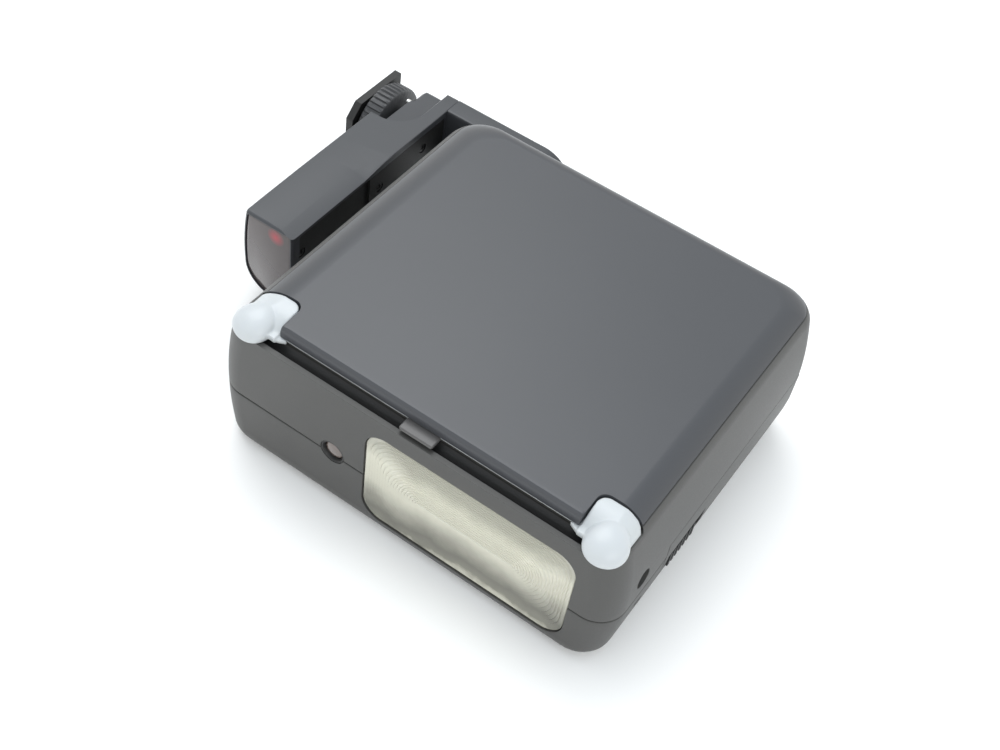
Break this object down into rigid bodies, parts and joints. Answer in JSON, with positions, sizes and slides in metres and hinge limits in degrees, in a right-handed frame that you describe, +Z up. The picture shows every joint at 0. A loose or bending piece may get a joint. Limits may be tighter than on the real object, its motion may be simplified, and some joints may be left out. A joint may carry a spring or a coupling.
{
  "type": "speedlight flash",
  "caption": "Shoe-mount speedlight: a flat wide flash head with sliding white bounce card and battery door, turning on an L-shaped bracket with a knurled lock wheel.",
  "frame": {"origin": "middle of the whole flash at the height of the head underside, on which it lies", "axes": "+Z up, flash window faces -Y, shoe plate faces -X, width along X"},
  "size_m": [0.131, 0.1066, 0.041],
  "materials": {
    "shell_plastic": "fine satin grain",
    "cover_plastic": "smooth satin",
    "card_white": "translucent satin",
    "lens_clear": "ribbed fresnel",
    "reflector_metal": "bright",
    "tube_glass": "clear",
    "black_plastic": "fine matte",
    "steel": "machined",
    "sensor_glass": "tinted",
    "sensor_body": "gloss",
    "sleeve": "shrink sleeve",
    "board": "lacquered",
    "winding": "taped winding",
    "cell_jacket": "printed jacket, plain",
    "contact_metal": "plated",
    "lcd_glass": "clear",
    "key_plastic": "satin",
    "test_plastic": "gloss",
    "lamp_red": "clear red",
    "window_red": "dark red filter"
  },
  "bodies": {
    "foot_unit": {"arm_housing": "shell_plastic", "back_arm": "shell_plastic", "inner_cover": "black_plastic", "cover_screws": "steel", "assist_window": "window_red", "assist_lamp": "lamp_red", "lamp_board": "board", "stop_pin": "steel", "shoe_foot": "black_plastic", "shoe_contacts": "contact_metal", "tilt_pin": "steel"},
    "hinge": {"hinge_block": "black_plastic", "swivel_shaft": "steel", "swivel_washer": "steel", "swivel_nut": "steel"},
    "card": {"bounce_card": "card_white"},
    "door": {"battery_door": "shell_plastic"},
    "latch": {"door_latch": "black_plastic"},
    "zoom": {"zoom_carriage": "black_plastic", "reflector": "reflector_metal", "flash_tube": "tube_glass"},
    "screw": {"lead_screw": "steel"},
    "wheel": {"lock_wheel": "black_plastic"},
    "foot_pin": {"lock_pin": "steel"},
    "mode_key": {"mode_button": "key_plastic"},
    "zoom_key": {"zoom_button": "key_plastic"},
    "select_key": {"select_button": "key_plastic"},
    "light_key": {"light_button": "key_plastic"},
    "test_key": {"test_button": "test_plastic"},
    "switch": {"power_switch": "key_plastic"},
    "head": {"lower_shell": "shell_plastic", "upper_shell": "shell_plastic", "top_cover": "cover_plastic", "flash_lens": "lens_clear", "zoom_motor": "steel", "sensor_bezel": "black_plastic", "sensor_window": "sensor_glass", "light_sensor": "sensor_body", "side_socket": "black_plastic", "main_capacitor": "sleeve", "main_board": "board", "transformer": "winding", "battery_tray": "black_plastic", "battery_cells": "cell_jacket", "cell_contacts": "contact_metal", "door_pin": "steel", "back_panel": "black_plastic", "lcd_window": "lcd_glass", "lcd_module": "sensor_body", "switch_board": "board", "ready_lamp": "lamp_red", "shell_screws": "steel"}
  },
  "joints": [
    {"name": "head_tilt", "type": "hinge", "parent": "foot_unit", "child": "hinge", "pos_m": [-0.01095, 0.043, 0.0195], "axis": [0, 0, 1], "range_deg": [0, 90]},
    {"name": "head_swivel", "type": "hinge", "parent": "hinge", "child": "head", "pos_m": [-0.01555, 0.0359, 0.0195], "axis": [0, 1, 0], "range_deg": [-90, 0]},
    {"name": "card_slide", "type": "slide", "parent": "head", "child": "card", "axis": [0, -1, 0], "range_m": [0, 0.05]},
    {"name": "door_swing", "type": "hinge", "parent": "head", "child": "door", "pos_m": [0.06355, -0.0021, 0.0071], "axis": [0, 1, 0], "range_deg": [0, 95]},
    {"name": "latch_slide", "type": "slide", "parent": "door", "child": "latch", "axis": [0, 1, 0], "range_m": [0, 0.0025]},
    {"name": "zoom_slide", "type": "slide", "parent": "head", "child": "zoom", "axis": [0, 1, 0], "range_m": [0, 0.0055]},
    {"name": "screw_spin", "type": "hinge", "parent": "head", "child": "screw", "pos_m": [0.03055, -0.0421, 0.032], "axis": [0, 1, 0], "range_deg": [0, 1981]},
    {"name": "wheel_spin", "type": "hinge", "parent": "foot_unit", "child": "wheel", "pos_m": [-0.06045, 0.0424, 0.0112], "axis": [-1, 0, 0], "range_deg": [0, 120]},
    {"name": "foot_pin_slide", "type": "slide", "parent": "foot_unit", "child": "foot_pin", "axis": [-1, 0, 0], "range_m": [0, 0.0012]},
    {"name": "mode_press", "type": "slide", "parent": "head", "child": "mode_key", "axis": [0, -1, 0], "range_m": [0, 0.0008], "stiffness_N_per_m": 300},
    {"name": "zoom_press", "type": "slide", "parent": "head", "child": "zoom_key", "axis": [0, -1, 0], "range_m": [0, 0.0008], "stiffness_N_per_m": 300},
    {"name": "select_press", "type": "slide", "parent": "head", "child": "select_key", "axis": [0, -1, 0], "range_m": [0, 0.0008], "stiffness_N_per_m": 300},
    {"name": "light_press", "type": "slide", "parent": "head", "child": "light_key", "axis": [0, -1, 0], "range_m": [0, 0.0008], "stiffness_N_per_m": 300},
    {"name": "test_press", "type": "slide", "parent": "head", "child": "test_key", "axis": [0, -1, 0], "range_m": [0, 0.0008], "stiffness_N_per_m": 300},
    {"name": "power_slide", "type": "slide", "parent": "head", "child": "switch", "axis": [1, 0, 0], "range_m": [0, 0.0045]}
  ],
  "couplings": [
    {"joint": "screw_spin", "follows": "zoom_slide", "rad_per_m": 6283.2},
    {"joint": "foot_pin_slide", "follows": "wheel_spin", "m_per_rad": 0.00057}
  ]
}
